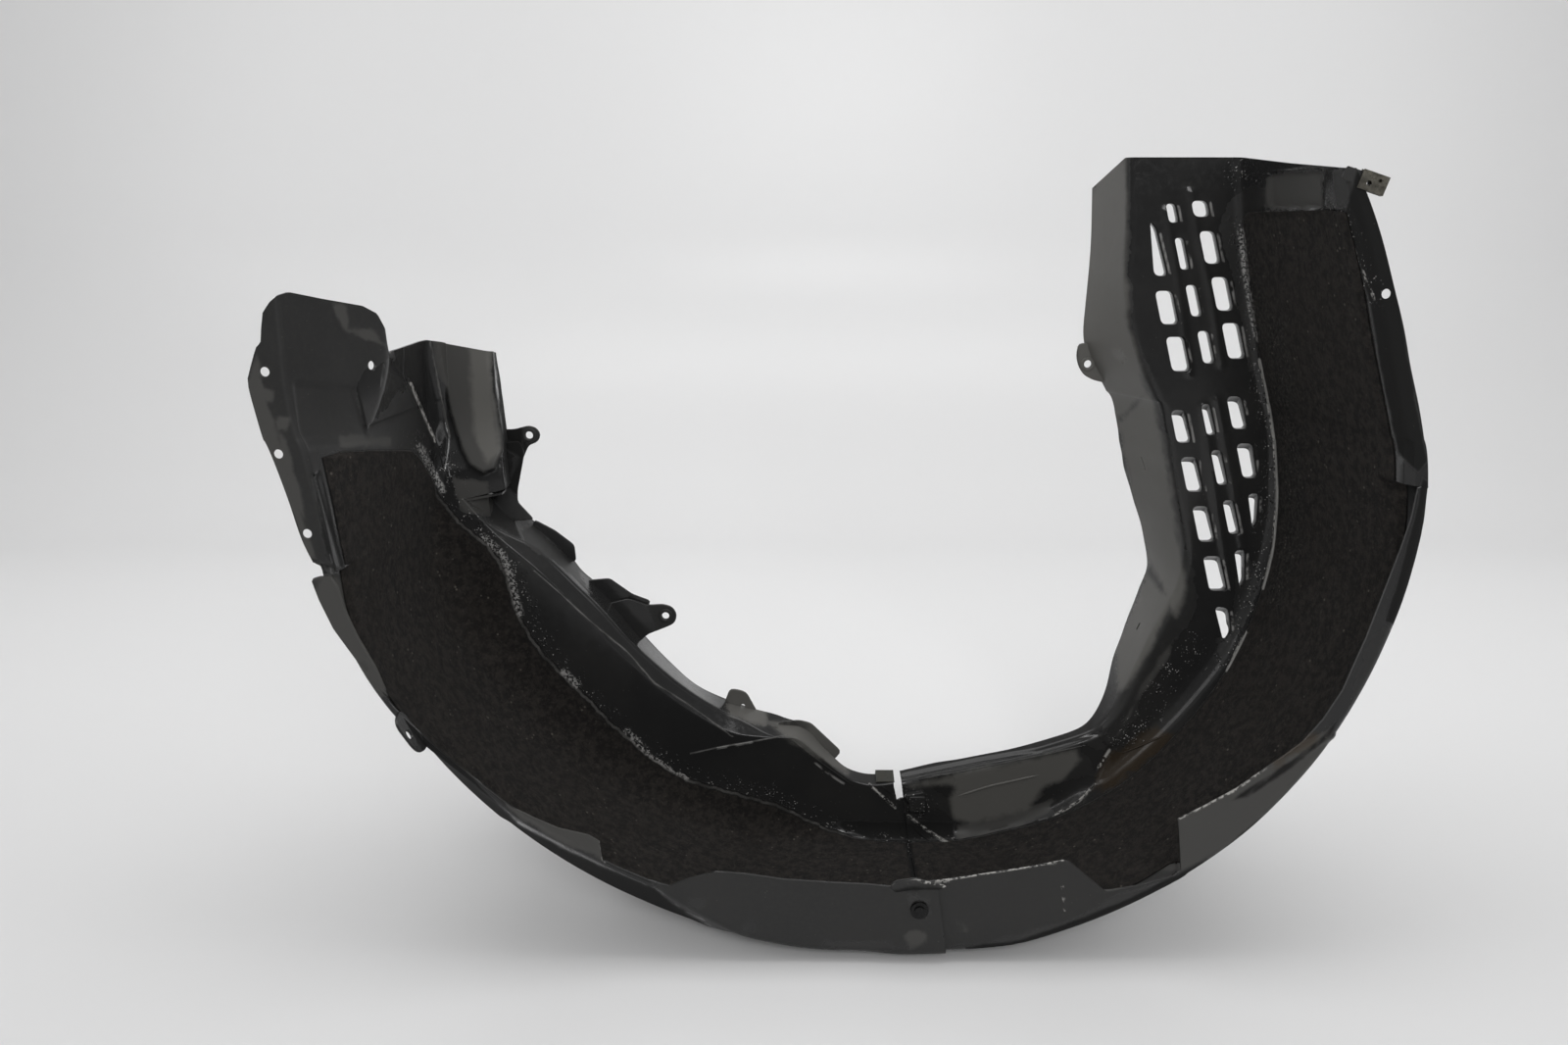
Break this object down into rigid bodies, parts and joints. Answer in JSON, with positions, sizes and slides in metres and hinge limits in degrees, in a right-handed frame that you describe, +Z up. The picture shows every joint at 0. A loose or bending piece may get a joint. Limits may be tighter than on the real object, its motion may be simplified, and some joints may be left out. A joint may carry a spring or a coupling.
{
  "type": "wheel arch liner",
  "caption": "Moulded wheel arch liner in a front and a rear half, with fleece lining, a turned-in lip, an inner wall with a vent grille, fixing ears and a holed flap.",
  "frame": {"origin": "centre of the bounding box on the floor, under the crown that the liner stands on", "axes": "+X along the arch from the rear leg to the front leg, +Y from the lip to the inner wall, +Z up with the legs pointing up"},
  "size_m": [0.8896, 0.3044, 0.6606],
  "materials": {
    "liner_plastic": "black polypropylene, glossy where it is wet or clean and dull grey where it is dry",
    "liner_fleece": "black needled fleece with brown dust",
    "rivet_plastic": "black nylon",
    "clip_plastic": "dark dirty plastic",
    "nut_metal": "dull zinc with dried dirt"
  },
  "bodies": {
    "root": {"rear_shell": "liner_plastic", "front_shell": "liner_plastic", "rear_felt": "liner_fleece", "front_felt": "liner_fleece", "rivet_body": "rivet_plastic", "rivet_pin": "rivet_plastic", "rim_clip": "clip_plastic", "spring_nut": "nut_metal"}
  },
  "joints": []
}
